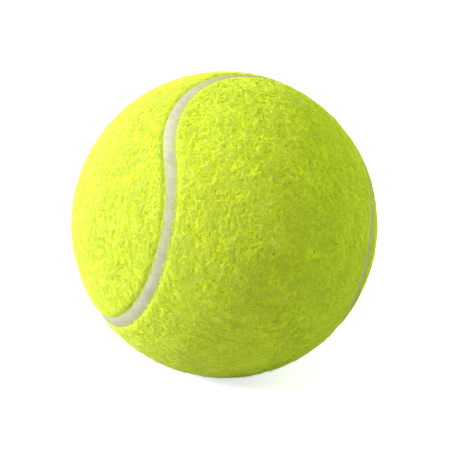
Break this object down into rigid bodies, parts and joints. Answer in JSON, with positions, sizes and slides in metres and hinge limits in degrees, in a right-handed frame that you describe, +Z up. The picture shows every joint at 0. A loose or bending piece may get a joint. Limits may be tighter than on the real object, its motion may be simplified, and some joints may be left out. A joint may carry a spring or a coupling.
{
  "type": "tennis ball",
  "caption": "Hollow rubber ball covered in interlocking dog-bone felt panels, with a recessed rubber seam between them.",
  "frame": {"origin": "centre of the ball", "axes": "+Z up as the ball lies in the picture and along the axis of the core's two half shells, +X to the right in the picture, +Y away from the viewer"},
  "size_m": [0.067, 0.067, 0.067],
  "materials": {
    "felt": "raised wool and nylon nap, optic yellow",
    "seam_rubber": "matte, slightly rough",
    "core_rubber": "matte, moulded, lightly ground outside",
    "cement": "dull cured film",
    "back_coat": "dull cured film on the felt's back"
  },
  "bodies": {
    "root": {"core_half_upper": "core_rubber", "core_half_lower": "core_rubber", "core_joint_cement": "cement", "core_cement_coat": "cement", "panel_a_back_coat": "back_coat", "panel_b_back_coat": "back_coat", "felt_panel_a": "felt", "felt_panel_b": "felt", "seam_rubber": "seam_rubber"}
  },
  "joints": []
}
